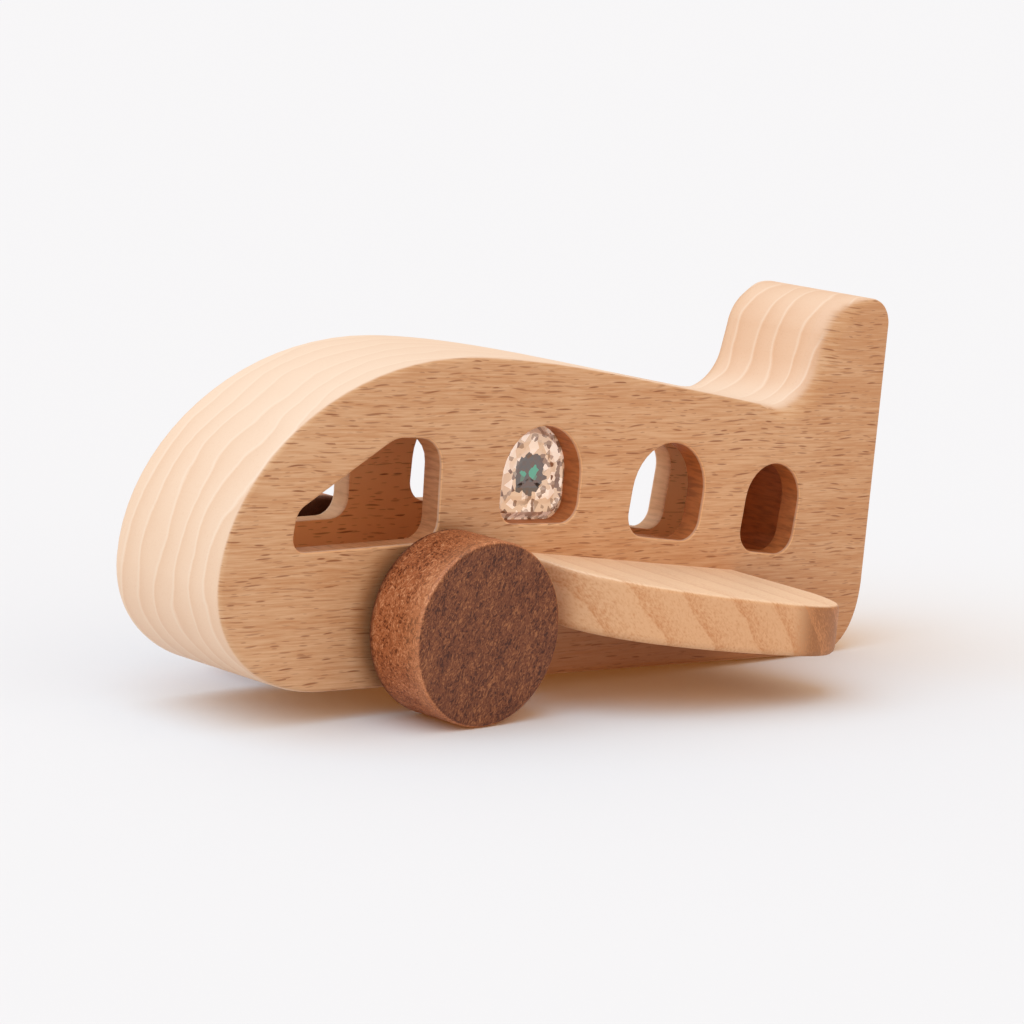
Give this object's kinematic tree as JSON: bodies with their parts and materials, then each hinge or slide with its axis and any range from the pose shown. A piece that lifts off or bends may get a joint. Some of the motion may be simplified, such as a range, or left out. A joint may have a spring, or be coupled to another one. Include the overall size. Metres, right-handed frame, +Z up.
{
  "type": "wooden toy aeroplane",
  "caption": "Wooden toy aeroplane with a hollow windowed body, swept wings, a crystal behind one window and walnut wheels on a turning axle.",
  "frame": {"origin": "on the ground, under the middle of the bounding box", "axes": "+X forward to the nose, +Y to the port side, +Z up; the toy stands on its two wheels and the underside of its tail at z = 0"},
  "size_m": [0.1886, 0.1072, 0.0807],
  "materials": {
    "panel_beech": "tangential-cut beech, oiled satin, fine ray flecks",
    "core_beech": "pale beech with soft growth rings, oiled satin",
    "wing_beech": "light beech, oiled satin",
    "dowel_beech": "turned beech dowel, bare",
    "wheel_walnut": "dark walnut, oiled satin",
    "crystal": "clear cut crystal, polished facets"
  },
  "bodies": {
    "fuselage": {"port_side_panel": "panel_beech", "starboard_side_panel": "panel_beech", "fuselage_core": "core_beech", "window_crystal": "crystal", "port_wing": "wing_beech", "starboard_wing": "wing_beech", "wing_dowel_front": "dowel_beech", "wing_dowel_rear": "dowel_beech"},
    "wheelset": {"axle": "dowel_beech", "port_wheel": "wheel_walnut", "starboard_wheel": "wheel_walnut"}
  },
  "joints": [
    {"name": "wheels_roll", "type": "hinge", "parent": "fuselage", "child": "wheelset", "pos_m": [0.0387, 0, 0.0192], "axis": [0, 1, 0], "continuous": true}
  ]
}
